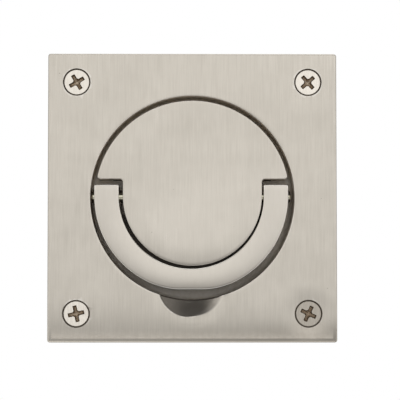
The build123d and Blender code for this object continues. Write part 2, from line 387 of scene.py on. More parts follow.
def reach(tree, place, x, z):
    """Distance from a line along Y."""
    inputs = {0: place, 1: (1, 0, 1), 2: (-x, 0, -z)}
    moved = add(tree, "ShaderNodeVectorMath", inputs, operation="MULTIPLY_ADD")[0]
    return add(tree, "ShaderNodeVectorMath", {0: moved}, operation="LENGTH")["Value"]


def split(tree, place):
    """The three axes of a place."""
    return add(tree, "ShaderNodeSeparateXYZ", {0: place})


def folded(tree, place, ways):
    """A place with z folded over, and x too if two ways, so that one screw stands for the others."""
    x, _, z = split(tree, place)
    x = calculate(tree, "ABSOLUTE", x) if ways == 2 else x
    return add(tree, "ShaderNodeCombineXYZ", {0: x, 2: calculate(tree, "ABSOLUTE", z)})[0]


def edge_highlight_mask(tree):
    """The mark for the painted edge highlight, left on a piece."""
    return add(tree, "ShaderNodeAttribute", {}, attribute_name="edge")["Fac"]


def bump(tree, height, distance):
    """A normal that follows a height."""
    return add(tree, "ShaderNodeBump", {"Height": height, "Distance": distance})["Normal"]


def node_group(name, inputs, outputs):
    """An empty shader group with named sockets; gives it and the sockets inside it."""
    group = bpy.data.node_groups.new(name, "ShaderNodeTree")
    for way, sockets in (("INPUT", inputs), ("OUTPUT", outputs)):
        for title, kind in sockets.items():
            group.interface.new_socket(title, in_out=way, socket_type="NodeSocket" + kind)
    return group, group.nodes.new("NodeGroupInput").outputs, group.nodes.new("NodeGroupOutput").inputs


def metal(name, colour, roughness):
    """A metal material; gives it, its tree, its shader and the object's own coordinates."""
    material = bpy.data.materials.new(name)
    material.use_nodes = True
    tree = material.node_tree
    shader = tree.nodes["Principled BSDF"]
    shader.inputs["Metallic"].default_value = 1.0
    shader.inputs["Base Color"].default_value = (*colour, 1)
    shader.inputs["Roughness"].default_value = roughness
    material.diffuse_color = (*colour, 1)
    return material, tree, shader, tree.nodes.new("ShaderNodeTexCoord").outputs["Object"]


def bound(tree):
    """The usual steps, for one tree."""
    return [partial(step, tree) for step in (product, total, between, fading, blend)]


def drive(tree, shader, colour, roughness, normal):
    """Links a shader's colour, roughness and normal."""
    for title, source in (("Base Color", colour), ("Roughness", roughness), ("Normal", normal)):
        tree.links.new(source, shader.inputs[title])


# fine brush lines over soft clouds; "Grain" is a place measured in brush lines
brushed, given, made = node_group(
    "brushed grain",
    {
        "Grain": "Vector", "Place": "Vector", "Light": "Color", "Dark": "Color",
        "Smooth": "Float", "Rough": "Float",
    },
    {"Color": "Color", "Roughness": "Float", "Height": "Float"},
)
times, plus, ramp, fade, mix = bound(brushed)
lines = noise(brushed, given["Grain"], 1.0, 3.0, 0.6)
long_lines = noise(brushed, given["Grain"], 0.35, 2.0)
clouds = noise(brushed, given["Place"], 70.0, 2.5)
fine_clouds = noise(brushed, given["Place"], 260.0, 2.0)
cloud = plus(times(clouds, 0.65), times(fine_clouds, 0.35))
streak = plus(times(lines, 0.75), times(long_lines, 0.25))
tone = plus(times(streak, 0.62), times(cloud, 0.38))
gloss = plus(times(streak, 0.7), times(cloud, 0.3))
brushed.links.new(mottled(brushed, tone, given["Dark"], given["Light"], 0.14), made["Color"])
brushed.links.new(ramp(gloss, 0.3, 0.7, given["Rough"], given["Smooth"]), made["Roughness"])
brushed.links.new(lines, made["Height"])

# the marks of handling: fine stray scratches two ways, and a few specks in the plating
handled, given, made = node_group(
    "handling marks", {"Place": "Vector"}, {"Scratches": "Float", "Specks": "Float"}
)
scratch = 0.0
for turn, threshold in ((0.5, 0.71), (-1.1, 0.73)):
    strand = noise(handled, stretched(handled, given["Place"], (0.09, 1.0, 5.5), (0, turn, 0)), 1.0, 1.0)
    scratch = calculate(handled, "MAXIMUM", scratch, between(handled, strand, threshold, threshold + 0.05))
pits = add(handled, "ShaderNodeTexVoronoi", {"Vector": given["Place"], "Scale": 190.0})
handled.links.new(scratch, made["Scratches"])
handled.links.new(fading(handled, pits["Distance"], 0.018, 0.034), made["Specks"])

# the wheel has reached only the show face: below it the plating is dull, and the back is as forged
satin_light, satin_dark = (0.67, 0.624, 0.551, 1), (0.6, 0.557, 0.488, 1)
dull_dark, dull_light = (0.72, 0.65, 0.555, 1), (0.81, 0.74, 0.645, 1)
floor_dark, floor_light = (0.9, 0.83, 0.73, 1), (0.97, 0.91, 0.82, 1)
forged_dark, forged_light = (0.4, 0.37, 0.32, 1), (0.5, 0.465, 0.405, 1)
speck_colour, scratch_colour = (0.2, 0.17, 0.13, 1), (0.8, 0.76, 0.69, 1)
recess_foot_dark_colour, low_shade_colour = (0.3, 0.26, 0.215, 1), (0.38, 0.345, 0.295, 1)
edge_highlight_colour, outer_edge_shade_colour = (0.88, 0.84, 0.78, 1), (0.5, 0.46, 0.4, 1)
wiped_colour, scoop_shade_colour = (0.84, 0.785, 0.7, 1), (0.07, 0.062, 0.053, 1)
arris_shadow_colour, countersink_shade_colour = (0.035, 0.026, 0.018, 1), (0.05, 0.037, 0.024, 1)
nose_gap_shade_colour = (0.05, 0.038, 0.026, 1)
scoop_shade_x, scoop_shade_z = 0.3 * mm, -29.7 * mm  # where the painted shade in the scoop is darkest
low_shade_tilt = -0.08

satin_nickel, tree, shader, place = metal("satin_nickel", (0.65, 0.61, 0.54), 0.36)
times, plus, ramp, fade, mix = bound(tree)
x, y, z = split(tree, place)
grain = add(tree, "ShaderNodeGroup", {
    "Grain": stretched(tree, place, (0.21, 0.5, 8.0)), "Place": place,
    "Light": satin_light, "Dark": satin_dark, "Smooth": 0.27, "Rough": 0.34,
}, node_tree=brushed)
marks = add(tree, "ShaderNodeGroup", {"Place": place}, node_tree=handled)
mottle = noise(tree, place, 900.0, 3.0)
pivot = Vector(frame["joints"][0]["pos_m"])
off_axis = reach(tree, place, 0, 0)
off_pivot = reach(tree, place, pivot.x, pivot.z)
off_scoop_shade = reach(tree, place, scoop_shade_x, scoop_shade_z)
off_screw = reach(tree, folded(tree, place, 2), screw_spacing / 2, screw_spacing / 2)
side = calculate(tree, "MAXIMUM", calculate(tree, "ABSOLUTE", x), calculate(tree, "ABSOLUTE", z))

sunk = times(
    fade(side, plate_half - 1.2 * mm, plate_half - 0.9 * mm),
    ramp(y, show_y + 0.15 * mm, show_y + 0.55 * mm),
)
round_cup = calculate(
    tree, "MAXIMUM",
    ramp(off_axis, recess_radius + 0.4 * mm, recess_radius + 0.8 * mm),
    ramp(y, recess_floor_y + 0.8 * mm, recess_floor_y + 1.1 * mm),
)
behind = times(round_cup, ramp(y, -0.2 * mm, -0.05 * mm))
on_floor = times(
    ramp(y, recess_floor_y - 0.6 * mm, recess_floor_y - 0.2 * mm),
    calculate(tree, "SUBTRACT", 1, round_cup),
)
recess_foot_darkening = times(  # darker towards the foot of the recess
    ramp(z, -22 * mm, -12 * mm, 0.4, 0.0),
    fade(off_axis, recess_radius, recess_radius + 0.3 * mm),
)
nose_gap_shade = times(  # painted shade deep in the gap round the hub's nose, where the ring's legs lie
    ramp(off_pivot, 18.15 * mm, 18.25 * mm),
    fade(off_pivot, 21.45 * mm, 21.6 * mm),
    ramp(y, 0.4 * mm, 1.9 * mm),
    fade(y, recess_floor_y - 0.4 * mm, recess_floor_y - 0.2 * mm),
)
in_scoop = times(
    ramp(off_axis, recess_radius - 0.15 * mm, recess_radius - 0.03 * mm),
    fade(reach(tree, place, scoop_x, scoop_z), 10.5 * mm, 11 * mm),
)
# painted shade in the scoop, lighter towards its right side, which faces the light
scoop_shade = times(
    ramp(off_scoop_shade, 1.5 * mm, 8 * mm, 0.96, 0.74),
    ramp(x, 2.5 * mm, 8 * mm, 1.0, 0.42),
    ramp(y, show_y + 0.13 * mm, show_y + 0.4 * mm),
    in_scoop,
)
arris_shadow = times(  # a painted shadow line where the scoop breaks into the recess
    fade(off_axis, recess_radius + 0.12 * mm, recess_radius + 0.28 * mm),
    in_scoop,
    ramp(y, show_y + 0.3 * mm, show_y + 0.6 * mm),
)
# painted shade in the gap round each screw head, at the countersink's rim
countersink_shade = times(fade(off_screw, 3.64 * mm, 3.7 * mm), ramp(y, show_y + 0.005 * mm, show_y + 0.03 * mm))
wiped = times(  # fingers keep the hub's face bright above the ring
    ramp(z, -12 * mm, 14 * mm, 0.32, 0.08),
    fade(off_axis, 21 * mm, 25 * mm),
    ramp(off_pivot, 12 * mm, 17.5 * mm, 1.0, 0.3),
)
# painted shade: the plate darker towards its lower edge, a little more towards the right
low = plus(z, times(x, low_shade_tilt))
# painted highlight on the inner front edges, painted shade on the plate's outer edges
outside = ramp(side, plate_half - 0.9 * mm, plate_half - 0.6 * mm)
edge_highlight_and_shade = mix(outside, edge_highlight_colour, outer_edge_shade_colour)

dull = layered(
    tree, mottled(tree, mottle, dull_dark, dull_light),
    # darker towards the foot of the recess
    (on_floor, mottled(tree, mottle, floor_dark, floor_light)), (recess_foot_darkening, recess_foot_dark_colour),
)
colour = layered(
    tree, grain["Color"],
    (times(marks["Specks"], 0.5), speck_colour),
    (times(marks["Scratches"], 0.12), scratch_colour),
    # the painted edge highlight and edge shade
    (times(edge_highlight_mask(tree), 0.7), edge_highlight_and_shade),
    # the painted shade along the plate's lower edge
    (ramp(low, -41 * mm, -32.5 * mm, 0.7, 0.0), low_shade_colour),
    (wiped, wiped_colour),
    (sunk, dull),
    # the painted shade in the scoop
    (scoop_shade, scoop_shade_colour),
    # the painted shadow line at the scoop's arris
    (times(arris_shadow, 0.9), arris_shadow_colour),
    # the painted shade round the screw heads
    (times(countersink_shade, 0.95), countersink_shade_colour),
    (behind, mottled(tree, mottle, forged_dark, forged_light)),
    # painted shade in the gap round the hub's nose
    (times(nose_gap_shade, 0.92), nose_gap_shade_colour),
)
roughness = plus(grain["Roughness"], times(sunk, 0.22), times(behind, ramp(mottle, 0.3, 0.7, 0.0, 0.14)))
turning = add(tree, "ShaderNodeCombineXYZ", {0: off_axis})[0]
tool_lines = noise(tree, turning, 2600.0, 2.0)
cup_back = times(behind, ramp(y, cup_back_y - 0.15 * mm, cup_back_y - 0.05 * mm))
height = plus(
    times(calculate(tree, "SUBTRACT", behind, cup_back), mottle),
    times(cup_back, tool_lines),
    times(grain["Height"], 0.12, calculate(tree, "SUBTRACT", 1, behind)),
)
tree.links.new(calculate(tree, "SUBTRACT", 1, times(sunk, 0.9)), shader.inputs["Metallic"])
drive(tree, shader, colour, roughness, bump(tree, height, 0.03 * mm))
finish(face_plate, satin_nickel, "housing", "satin_nickel", "face_plate")

# ==== Hub ============================================================================================
# A thick brass disc, cut back on both sides to a round nose for the ring's legs. Its face is brushed
# with the plate's, and a wheel has eased the nose away. Two screws hold it from behind.
hub_radius = 25.65 * mm
nose_radius = 18.3 * mm
shoulder_z = pivot.z + 4.573 * mm
shoulder_fillet = 0.9 * mm
tip_fillet = 0.7 * mm
ledge_radius = 21.3 * mm
ledge_top = pivot.z - 4.573 * mm
ledge_front_y = 2.1 * mm
hub_edge = 0.12 * mm
ease_z = pivot.z + 9 * mm
ease_start = 22 * mm
ease_radius = 70 * mm
ease_tilt = radians(20)  # nothing is eased above this slope
hub_back_edge = 0.15 * mm
hub_centre = Vector((0, show_y, 8 * mm))
tapped_radius = 2.05 * mm
pin_radius = 1.6 * mm
pin_clearance = 0.06 * mm


def hub_outline(inset, nose=nose_radius):
    """The hub's outline, turned clockwise from the top; a larger nose gives the ledge below."""
    tip_z = shoulder_z + tip_fillet
    tip_x = sqrt((hub_radius - tip_fillet) ** 2 - tip_z**2)
    tip_angle = degrees(atan2(tip_z, tip_x))
    corner = (nose_radius + shoulder_fillet, shoulder_z - shoulder_fillet)
    step_angle = degrees(asin((ledge_top - pivot.z) / nose_radius))
    ledge_angle = degrees(asin((ledge_top - pivot.z) / nose))
    half = arc((0, 0), hub_radius - inset, 90, tip_angle, 60)
    half += arc((tip_x, tip_z), tip_fillet - inset, tip_angle, -90, 8)[1:]
    half += line((tip_x, shoulder_z + inset), (corner[0], shoulder_z + inset), 10)[1:]
    half += arc(corner, shoulder_fillet + inset, 90, 180, 10)
    half += line((nose_radius - inset, corner[1]), (nose_radius - inset, pivot.z), 6)[1:]
    half += arc((0, pivot.z), nose_radius - inset, 0, step_angle, 8)
    half += arc((0, pivot.z), nose - inset, ledge_angle, -90, 50)
    return half + [(-x, z) for x, z in half[-2:0:-1]]


def hub_face(x, z):
    """The hub's show face, eased away below a circle about a point above the pivot."""
    below = atan2(ease_z - z, abs(x)) > ease_tilt
    past = max(0.0, hypot(x, z - ease_z) - ease_start) if below else 0.0
    return show_y + ease_radius - sqrt(ease_radius**2 - past**2)


hub_rings = [
    [(x, y, z) for x, z in hub_outline(inset, nose)]
    for inset, nose, y in (
        (hub_back_edge, ledge_radius, recess_floor_y),
        (0, ledge_radius, recess_floor_y - hub_back_edge),
        (0, ledge_radius, ledge_front_y),
        (0, nose_radius, ledge_front_y),
        (0, nose_radius, show_y + 4 * mm),
    )
]
for inset, rise in arc((hub_edge, hub_edge), hub_edge, 180, 270, 5):
    hub_rings.append([(x, hub_face(x, z) + rise, z) for x, z in hub_outline(inset)])
hub_rim = hub_rings[-2]
for share in (0.03, 0.07, 0.12, 0.18, 0.25, 0.33, 0.42, 0.52, 0.63, 0.75, 0.87, 0.985):
    ring = [Vector(point).lerp(hub_centre, share) for point in hub_rim]
    hub_rings.append([(p.x, hub_face(p.x, p.z), p.z) for p in ring])
hub = skin("hub_disc", hub_rings)


def bored(name, radius, start, end, centre, steps=64):
    """A round cutter along X."""
    circle = arc((centre.y, centre.z), radius, 0, 360, steps)[:-1]
    return skin(name, [[(x, y, z) for y, z in circle] for x in (start, end)])


hub_cutters = [bored("pivot_bore", pin_radius + pin_clearance, -30 * mm, 30 * mm, pivot)]
for z in (hub_screw_z, -hub_screw_z):
    profile = [(nil, -0.5 * mm), (tapped_radius, -0.5 * mm), (tapped_radius, 8 * mm), (nil, 8 * mm)]
    hub_cutters.append(turned("tapped_hole", profile, (0, z), 48))
cut(hub, hub_cutters)
smooth(hub)
mark_edge_highlights(hub)
finish(hub, satin_nickel, "housing", "satin_nickel", "hub")

# ==== Ring ===========================================================================================
# A forged brass U that lies round the hub's nose. Its face is crowned, its back is rounded over for
# the fingers, and it is brushed along its length before plating.
ring_low, ring_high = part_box("ring")
ring_x = (ring_low.x + ring_high.x) / 2
ring_front, ring_back = ring_low.y, ring_high.y
ring_half = (ring_high.x - ring_low.x) / 2
ring_top = ring_high.z
ring_inner = 19.1 * mm
ring_arc_inset = 0.5 * mm
ring_outer = ring_half - ring_arc_inset
foot_depth = pivot.z - ring_low.z
foot_blend = 20 * mm
crown = 0.17 * mm
front_round = 0.32 * mm
back_round = 0.8 * mm


def ring_section(width, inset=0.0):
    """Half-way round a leg: (across, y) points of the section, from the inner front corner."""
    half = width / 2 - inset
    front, back = ring_front + inset, ring_back - inset
    soft, round_back = max(front_round - inset, 0.05 * mm), max(back_round - inset, 0.05 * mm)
    radius = (half**2 + crown**2) / (2 * crown)
    flank = half - soft
    fall = radius - sqrt(radius**2 - flank**2)
    points = arc((-flank, front + fall + soft), soft, 180, 266, 5)
    for step in range(1, 16):
        across = -flank + 2 * flank * step / 16
        points.append((across, front + radius - sqrt(radius**2 - across**2)))
    points += arc((flank, front + fall + soft), soft, 274, 360, 5)
    points += arc((half - round_back, back - round_back), round_back, 0, 90, 6)
    points += arc((round_back - half, back - round_back), round_back, 90, 180, 6)
    return points


# the outer line of the bow: an arc, a tighter one that eases into the foot, and the foot itself
blend_z = foot_blend - foot_depth
blend_x = ring_arc_inset + sqrt((ring_outer - foot_blend) ** 2 - blend_z**2)
blend_angle = degrees(atan2(blend_z, blend_x - ring_arc_inset))
bow = arc((ring_arc_inset, 0), ring_outer, 0, blend_angle, 34)
bow += arc((blend_x, blend_z), foot_blend, blend_angle, -90, 16)[1:]
bow += line((blend_x, -foot_depth), (0, -foot_depth), 4)[1:]
bow += [(0, -foot_depth)] + [(-x, z) for x, z in bow[::-1]]
leg_width = ring_half - ring_inner
leg_top = ring_top - pivot.z
leg_end = arc((front_round, front_round), front_round, 270, 180, 5)
stations = [(leg_top - rise, inset) for inset, rise in leg_end] + [(leg_top / 2, 0.0)]


def leg(side, stations):
    """Sections across a leg, each at a height over the pivot and drawn in by an inset."""
    return [
        [
            (ring_x + side * (ring_inner + leg_width / 2 + across), y, pivot.z + z)
            for across, y in ring_section(leg_width, inset)
        ]
        for z, inset in stations
    ]


ring_rings = leg(1, stations)
for x, z in bow:
    outer = Vector((x, z))
    outwards = outer.normalized()
    inner = outwards * ring_inner
    middle, width = (inner + outer) / 2, (outer - inner).length
    ring_rings.append([
        (ring_x + middle.x + outwards.x * across, y, pivot.z + middle.y + outwards.y * across)
        for across, y in ring_section(width)
    ])
ring_rings += leg(-1, stations[::-1])
ring = skin("pull_ring_bow", ring_rings)
pin_place = Vector((ring_x, pivot.y, pivot.z))
cut(ring, [bored("ring_bore", pin_radius, -30 * mm, 30 * mm, pin_place)])
smooth(ring, 40)
mark_edge_highlights(ring)

ring_scratch_colour, ring_low_shade_colour = (0.84, 0.8, 0.74, 1), (0.5, 0.46, 0.4, 1)
ring_edge_highlight_colour = (1.0, 0.98, 0.93, 1)

ring_nickel, tree, shader, place = metal("ring_nickel", (0.65, 0.6, 0.53), 0.3)
times, plus, ramp, fade, mix = bound(tree)
grain = add(tree, "ShaderNodeGroup", {
    "Grain": stretched(tree, place, (0.4, 0.4, 3.0)), "Place": place,
    "Light": (0.69, 0.644, 0.574, 1), "Dark": (0.67, 0.624, 0.554, 1), "Smooth": 0.28, "Rough": 0.32,
}, node_tree=brushed)
marks = add(tree, "ShaderNodeGroup", {"Place": place}, node_tree=handled)
colour = layered(
    tree, grain["Color"],
    (times(marks["Scratches"], 0.15), ring_scratch_colour),
    # painted shade: the ring darker towards its foot
    (ramp(split(tree, place)[2], -23.5 * mm, -18 * mm, 0.25, 0.0), ring_low_shade_colour),
    # painted highlight along the ring's rounded front edges
    (edge_highlight_mask(tree), ring_edge_highlight_colour),
)
drive(tree, shader, colour, grain["Roughness"], bump(tree, grain["Height"], 0.0003 * mm))
finish(ring, ring_nickel, "pull_ring", "ring_nickel", "ring")

# ==== Pivot pin ======================================================================================
# Bright drawn steel rod, chamfered at both ends, pressed through the legs and free in the hub.
pin_low, pin_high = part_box("pivot_pin")
pin_chamfer = 0.3 * mm
pin_rings = []
for x, radius in (
    (pin_low.x, 0.1 * pin_radius),
    (pin_low.x, pin_radius - pin_chamfer),
    (pin_low.x + pin_chamfer, pin_radius),
    (pin_low.x + 1 * mm, pin_radius),
    (pin_high.x - 1 * mm, pin_radius),
    (pin_high.x - pin_chamfer, pin_radius),
    (pin_high.x, pin_radius - pin_chamfer),
    (pin_high.x, 0.1 * pin_radius),
):
    circle = arc((pivot.y, pivot.z), radius, 0, 360, 64)[:-1]
    pin_rings.append([(x, y, z) for y, z in circle])
pin = skin("pivot_rod", pin_rings)
smooth(pin, 25)
# painted shade covers it but for a line along its front, kept bright as a painted highlight
pin_highlight_z = pivot.z - 0.24 * mm
steel_dark, steel_light = (0.86, 0.83, 0.66, 1), (0.95, 0.92, 0.77, 1)
pin_shade_colour = (0.045, 0.035, 0.025, 1)

pin_steel, tree, shader, place = metal("pin_steel", (0.62, 0.59, 0.5), 0.16)
times, plus, ramp, fade, mix = bound(tree)
off_highlight = calculate(tree, "ABSOLUTE", calculate(tree, "SUBTRACT", split(tree, place)[2], pin_highlight_z))
pin_shaded = ramp(off_highlight, 0.36 * mm, 0.62 * mm)
scratches = noise(tree, stretched(tree, place, (4.0, 0.1, 0.1)), 1.0, 3.0)
roughness = plus(ramp(scratches, 0.3, 0.7, 0.3, 0.38), times(pin_shaded, 0.25))
steel = mottled(tree, noise(tree, place, 400.0), steel_dark, steel_light)
# painted shade over the pin but for the painted highlight line
colour = mix(times(pin_shaded, 0.95), steel, pin_shade_colour)
drive(tree, shader, colour, roughness, bump(tree, scratches, 0.001 * mm))
finish(pin, pin_steel, "pull_ring", "pin_steel", "pivot_pin")

# ==== Mounting screws ================================================================================
# Four countersunk wood screws in plated steel, with rolled threads, gimlet points and a cross recess.
# They fasten the plate to the door. The wheel that dished the lower right corner has dulled that head.
wood_face_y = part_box("mounting_screw_top_left")[0].y
wood_tip_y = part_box("mounting_screw_top_left")[1].y
wood_head_radius = 3.32 * mm
wood_neck_radius = 1.45 * mm
wood_neck_length = 4.7 * mm
wood_head_edge = 0.1 * mm
wood_cross = 1.8 * mm, 4.3 * mm  # the cross recess's depth and width
wood_pitch, wood_crest, wood_root = 1.4 * mm, 1.75 * mm, 1.2 * mm
wood_point = 3.2 * mm
wood_buried = 1.0 * mm  # the thread starts inside the neck
wood_turns = {"top_left": 30.5, "top_right": 41.5, "bottom_left": 12.0, "bottom_right": 65.0}


def geometry_group(name, sockets):
    """An empty geometry tree with named inputs; gives it, their identifiers and their values."""
    group = bpy.data.node_groups.new(name, "GeometryNodeTree")
    group.is_modifier = True
    identifiers = {}
    for title, kind in sockets.items():
        socket = group.interface.new_socket(title, in_out="INPUT", socket_type="NodeSocket" + kind)
        identifiers[title] = socket.identifier
    group.interface.new_socket("Geometry", in_out="OUTPUT", socket_type="NodeSocketGeometry")
    return group, identifiers, group.nodes.new("NodeGroupInput").outputs


def give_out(group, geometry, material):
    """Ends a geometry tree: real geometry in its material."""
    real = add(group, "GeometryNodeRealizeInstances", {0: geometry})[0]
    coated = add(group, "GeometryNodeSetMaterial", {"Geometry": real, "Material": material})[0]
    group.links.new(coated, group.nodes.new("NodeGroupOutput").inputs[0])


def grow(piece, group, identifiers, values):
    """Runs a geometry tree on a piece, its inputs set first, and keeps the mesh."""
    step = piece.modifiers.new("grow", "NODES")
    step.node_group = group
    for title, value in values.items():
        step[identifiers[title]] = value
    set_modifiers(piece)


# a screw's thread: rows of a grid laid along the helix, three to a turn, so that each crest is one line
thread_columns = 29
thread_rows = 3
thread_run_out = 0.8  # turns from the bare neck to the full crest
thread_fade, point_power = 2.2, 0.75  # how the crest and the root shrink towards the point
thread_weld = 0.002 * mm
threaded, thread_inputs, given = geometry_group("threaded screw", {
    "Geometry": "Geometry", "Place": "Vector", "Direction": "Float", "Pitch": "Float", "Ridge": "Float",
    "Length": "Float", "Crest": "Float", "Root": "Float", "Hidden": "Float", "Point": "Float",
    "Material": "Material",
})
maths, times, plus = (partial(step, threaded) for step in (calculate, product, total))
index = threaded.nodes.new("GeometryNodeInputIndex").outputs[0]
row = maths("FLOOR", maths("DIVIDE", plus(index, 0.5), thread_columns))
column = maths("SUBTRACT", index, times(row, thread_columns))
round_share = maths("DIVIDE", column, thread_columns - 1)
turn_number = maths("FLOOR", maths("DIVIDE", plus(row, 0.5), thread_rows))
off_crest = maths("SUBTRACT", maths("SUBTRACT", row, times(turn_number, thread_rows)), 1)  # -1, 0 or 1
along = maths("SUBTRACT", plus(turn_number, times(off_crest, given["Ridge"]), round_share), 1)
along = times(along, given["Pitch"])
started = maths("GREATER_THAN", along, 0)
along = maths("MINIMUM", maths("MAXIMUM", along, 0), given["Length"])
to_end = maths("DIVIDE", maths("SUBTRACT", given["Length"], along), given["Point"], clamp=True)
clear = maths("SUBTRACT", along, given["Hidden"])
rise = maths("DIVIDE", clear, times(given["Pitch"], thread_run_out), clamp=True)
rise = times(rise, maths("MULTIPLY", to_end, thread_fade, clamp=True))
on_crest = maths("SUBTRACT", 1, maths("ABSOLUTE", off_crest))
ridge = times(maths("SUBTRACT", given["Crest"], given["Root"]), rise, on_crest)
radius = times(given["Root"], maths("POWER", to_end, point_power))
radius = times(plus(radius, ridge), started)
angle = times(round_share, -2 * pi, given["Direction"])
turns = maths("CEIL", maths("DIVIDE", given["Length"], given["Pitch"]))
spot = add(threaded, "ShaderNodeCombineXYZ", {
    0: times(radius, maths("COSINE", angle)), 1: times(along, given["Direction"]),
    2: times(radius, maths("SINE", angle)),
})[0]
placed = add(threaded, "ShaderNodeVectorMath", {0: spot, 1: given["Place"]})[0]
rows = times(plus(turns, 3), thread_rows)
grid = add(threaded, "GeometryNodeMeshGrid", {"Vertices X": rows, "Vertices Y": thread_columns})["Mesh"]
wound = add(threaded, "GeometryNodeSetPosition", {"Geometry": grid, "Position": placed})[0]
merged = add(threaded, "GeometryNodeMergeByDistance", {"Geometry": wound, "Distance": thread_weld})[0]
outwards = add(threaded, "GeometryNodeFlipFaces", {0: merged})[0]
joined = threaded.nodes.new("GeometryNodeJoinGeometry")
for source in (outwards, given["Geometry"]):
    threaded.links.new(source, joined.inputs[0])
give_out(threaded, joined.outputs[0], given["Material"])


def driver_cross(name, place, face_y, depth, width, turn, direction):
    """A cutter for a cross recess: four wings that narrow to a small floor."""
    levels = (  # how deep, half the width across, half a wing's thickness, where two wings meet
        (-0.5 * mm, width / 2 + 0.05 * mm, 0.55 * mm, 0.92 * mm),
        (-0.01 * mm, width / 2 + 0.05 * mm, 0.55 * mm, 0.92 * mm),
        (0.05 * mm, width / 2, 0.5 * mm, 0.87 * mm),
        (0.45 * depth, width / 2 - 0.3 * mm, 0.34 * mm, 0.66 * mm),
        (depth, 0.6 * mm, 0.24 * mm, 0.42 * mm),
        (depth + 0.12 * mm, 0.1 * mm, 0.05 * mm, 0.07 * mm),
    )
    rings = []
    for deep, tip, wing, root in levels:
        shoulder, end = 0.97 * tip, 0.6 * wing  # the wings' ends are blunt, with their corners eased
        ring = []
        for quarter in range(4):
            swing = Matrix.Rotation(radians(90 * quarter + turn), 2)
            for point in (
                (shoulder, -wing), (tip, -end), (tip, end), (shoulder, wing), (root, wing), (wing, root)
            ):
                across, up = swing @ Vector(point)
                ring.append((place[0] + across, face_y + direction * deep, place[1] + up))
        rings.append(ring)
    return skin(name, rings)


bright_dark, bright_light = (0.785, 0.73, 0.652, 1), (0.855, 0.805, 0.724, 1)
dulled_dark, dulled_light = (0.54, 0.492, 0.425, 1), (0.6, 0.553, 0.48, 1)
shank_colour = (0.5, 0.46, 0.4, 1)
cross_recess_wall_shade_colour, recess_foot_colour = (0.11, 0.078, 0.046, 1), (0.6, 0.5, 0.385, 1)

screw_nickel, tree, shader, place = metal("screw_nickel", (0.84, 0.795, 0.73), 0.24)
times, plus, ramp, fade, mix = bound(tree)
y = split(tree, place)[1]
off_screw = reach(tree, folded(tree, place, 2), screw_spacing / 2, screw_spacing / 2)
rubbed = noise(tree, stretched(tree, place, (0.12, 0.5, 1.6)), 1.0, 3.0, 0.6)
dulled = fade(reach(tree, place, *screw_places["bottom_right"]), 4 * mm, 5 * mm)
faced = fade(y, wood_face_y + 0.12 * mm, wood_face_y + 0.3 * mm)
# painted shade on the walls of the cross recess, lighter towards its foot
cross_recess_shade = times(
    fade(off_screw, 2.4 * mm, 2.7 * mm),
    ramp(y, wood_face_y + 0.03 * mm, wood_face_y + 0.22 * mm),
    fade(y, wood_face_y + 2 * mm, wood_face_y + 2.2 * mm),
)
deep = ramp(y, wood_face_y + 0.5 * mm, wood_face_y + 1 * mm)
colour = layered(
    tree, mottled(tree, rubbed, bright_dark, bright_light, 0.2),
    (times(dulled, faced), mottled(tree, rubbed, dulled_dark, dulled_light, 0.2)),
    (ramp(y, wood_face_y + 0.3 * mm, wood_face_y + 0.8 * mm, 0.0, 0.7), shank_colour),
    # the painted shade in the cross recess
    (cross_recess_shade, mix(deep, cross_recess_wall_shade_colour, recess_foot_colour)),
)
roughness = plus(ramp(rubbed, 0.3, 0.7, 0.3, 0.2), times(dulled, 0.2), times(cross_recess_shade, 0.25))
drive(tree, shader, colour, roughness, bump(tree, rubbed, 0.002 * mm))

cone_height = (wood_head_radius - wood_neck_radius) / countersink_slope
for name, at in screw_places.items():
    profile = [(radius, wood_face_y + depth) for radius, depth in (
        (nil, 0),
        (wood_head_radius - wood_head_edge, 0),
        (wood_head_radius, wood_head_edge),
        (wood_neck_radius + 0.25 * mm, cone_height - 0.2 * mm),
        (wood_neck_radius, cone_height + 0.3 * mm),
        (wood_neck_radius, wood_neck_length - 0.3 * mm),
        (wood_neck_radius - 0.25 * mm, wood_neck_length),
        (nil, wood_neck_length),
    )]
    screw = turned("mounting_screw_body_" + name, profile, at, 80)
    cut(screw, [driver_cross("cross_cutter", at, wood_face_y, *wood_cross, wood_turns[name], 1)])
    grow(screw, threaded, thread_inputs, {
        "Place": (at[0], wood_face_y + wood_neck_length - wood_buried, at[1]), "Direction": 1.0,
        "Length": wood_tip_y - wood_face_y - wood_neck_length + wood_buried, "Hidden": wood_buried,
        "Pitch": wood_pitch, "Ridge": 0.2, "Crest": wood_crest, "Root": wood_root, "Point": wood_point,
        "Material": screw_nickel,
    })
    smooth(screw, 30)
    finish(screw, screw_nickel, "housing", "screw_nickel", "mounting_screw_" + name)

# ==== Hub screws =====================================================================================
# Two M4 pan head machine screws in zinc plated steel. They pass the cup's floor and bite in the hub.
pan_seat_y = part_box("lock_washer_upper")[1].y
pan_top_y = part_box("hub_screw_upper")[1].y
pan_tip_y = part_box("hub_screw_upper")[0].y
pan_radius = 4 * mm
pan_round = 1.6 * mm
pan_edge = 0.1 * mm
pan_neck = 1.7 * mm
pan_thread_start = 0.3 * mm  # under the head
pan_cross = 1.5 * mm, 4.2 * mm
pan_pitch, pan_crest, pan_root = 0.7 * mm, 1.98 * mm, 1.55 * mm
pan_turns = {"upper": 18.0, "lower": 74.0}

zinc_dark, zinc_light = (0.5, 0.53, 0.56, 1), (0.68, 0.685, 0.68, 1)
zinc_recess_shade_colour = (0.2, 0.2, 0.2, 1)

zinc_steel, tree, shader, place = metal("zinc_steel", (0.62, 0.64, 0.65), 0.34)
times, plus, ramp, fade, mix = bound(tree)
y = split(tree, place)[1]
# painted shade in the cross recess
cross_recess_shade = times(
    fade(reach(tree, folded(tree, place, 1), 0, hub_screw_z), 2.3 * mm, 2.5 * mm),
    fade(y, pan_top_y - 0.4 * mm, pan_top_y - 0.1 * mm),
)
bloom = noise(tree, place, 1100.0, 3.0)
